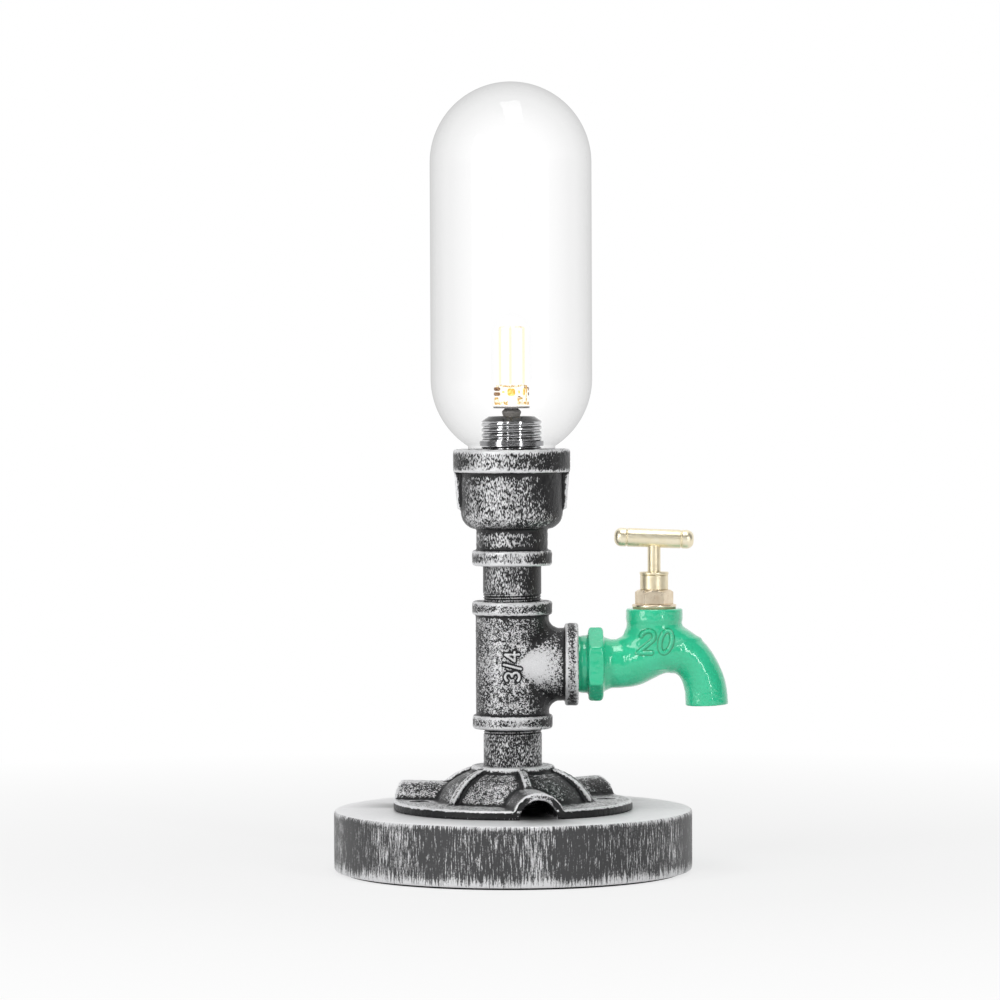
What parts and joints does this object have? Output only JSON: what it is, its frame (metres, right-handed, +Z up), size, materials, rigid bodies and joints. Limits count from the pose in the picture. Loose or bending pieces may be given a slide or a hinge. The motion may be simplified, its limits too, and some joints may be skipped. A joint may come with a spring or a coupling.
{
  "type": "table lamp",
  "caption": "Pipe-fitting table lamp: round wooden base, cast flange, tee with a bib tap and T handle, bell reducer and a clear capsule glass over a small bi-pin LED bulb.",
  "frame": {"origin": "middle of the felt underside of the base, on the axis of the pipe stack", "axes": "+Z up along the pipe stack, +X along the tap branch, -Y towards the viewer of the picture"},
  "size_m": [0.1653, 0.1517, 0.3301],
  "materials": {
    "black_felt": "matt black felt",
    "painted_wood": "black paint, dry-brushed with silver, worn at the edges",
    "silvered_iron": "black paint, dry-brushed with silver",
    "green_enamel": "glossy green enamel",
    "brass": "satin, slightly tarnished",
    "contact_brass": "polished",
    "dark_steel": "blackened",
    "zinc_steel": "zinc plated",
    "holder_steel": "grey, threaded",
    "black_plastic": "matt black",
    "ivory_plastic": "ivory",
    "brown_wire": "brown sleeving",
    "blue_wire": "blue sleeving",
    "ceramic": "glazed off-white",
    "black_rubber": "black",
    "packing": "greased cotton",
    "clear_glass": "clear, colourless",
    "bulb_glass": "clear",
    "grey_plug": "grey",
    "pin_metal": "nickel plated",
    "circuit_board": "gold tinted board",
    "components": "brown and amber components",
    "led_phosphor": "yellow phosphor"
  },
  "bodies": {
    "root": {"felt_pad": "black_felt", "base_disc": "painted_wood", "inlet_bush": "black_plastic", "terminal_block": "ivory_plastic", "terminal_screws": "contact_brass", "live_wire": "brown_wire", "neutral_wire": "blue_wire", "flange": "silvered_iron", "flange_screws": "dark_steel", "lower_nipple": "silvered_iron", "tee": "silvered_iron", "upper_nipple": "silvered_iron", "reducer": "silvered_iron", "carrier_disc": "zinc_steel", "holder_tube": "zinc_steel", "tube_nuts": "zinc_steel", "holder_shell": "holder_steel", "holder_ring": "zinc_steel", "holder_insert": "ceramic", "holder_contacts": "contact_brass", "seal_ring": "black_rubber", "tap_body": "green_enamel", "bonnet_gasket": "packing", "bonnet": "brass", "gland_packing": "packing", "gland_nut": "brass"},
    "shade": {"glass_shade": "clear_glass"},
    "bulb": {"bulb_pins": "pin_metal", "bulb_plug": "grey_plug", "lower_board": "circuit_board", "driver_parts": "components", "upper_board": "circuit_board", "led_sticks": "led_phosphor", "bulb_envelope": "bulb_glass"},
    "valve": {"jumper_valve": "brass", "valve_washer": "black_rubber", "washer_nut": "brass"},
    "handle": {"spindle": "brass", "handle_bar": "brass"}
  },
  "joints": [
    {"name": "shade_lift", "type": "slide", "parent": "root", "child": "shade", "axis": [0, 0, 1], "range_m": [0, 0.09]},
    {"name": "bulb_pull", "type": "slide", "parent": "root", "child": "bulb", "axis": [0, 0, 1], "range_m": [0, 0.06]},
    {"name": "valve_rise", "type": "slide", "parent": "root", "child": "valve", "axis": [0, 0, 1], "range_m": [0, 0.003]},
    {"name": "handle_turn", "type": "hinge", "parent": "valve", "child": "handle", "pos_m": [0.0594, 0, 0.13], "axis": [0, 0, 1], "range_deg": [0, 450]}
  ],
  "couplings": [
    {"joint": "handle_turn", "follows": "valve_rise", "rad_per_m": 2617.9}
  ]
}
